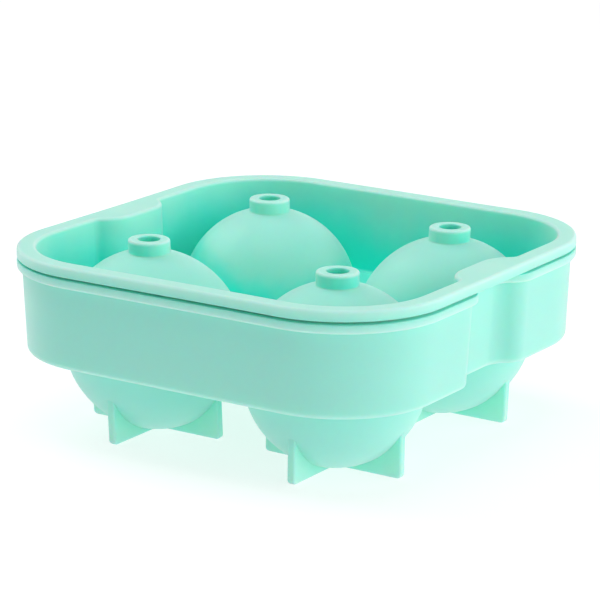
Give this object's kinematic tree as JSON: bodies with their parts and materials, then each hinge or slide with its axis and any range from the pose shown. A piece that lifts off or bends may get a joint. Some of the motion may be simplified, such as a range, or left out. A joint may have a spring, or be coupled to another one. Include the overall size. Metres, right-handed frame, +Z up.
{
  "type": "silicone ice ball mould",
  "caption": "Two-part square silicone mould for round ice: a walled tray with half-round cups on finned feet, and a lift-off lid with half-round domes, filling nozzles and thumb ledges.",
  "frame": {"origin": "on the surface the feet stand on, below the middle of the mould", "axes": "+Z up, through the filling nozzles; X runs across the two sides with thumb recesses, Y across the two plain sides"},
  "size_m": [0.125, 0.125, 0.0518],
  "materials": {
    "silicone": "satin"
  },
  "bodies": {
    "tray": {"tray": "silicone"},
    "lid": {"lid": "silicone"}
  },
  "joints": [
    {"name": "lid_lift", "type": "slide", "parent": "tray", "child": "lid", "axis": [0, 0, 1], "range_m": [0, 0.065]}
  ]
}
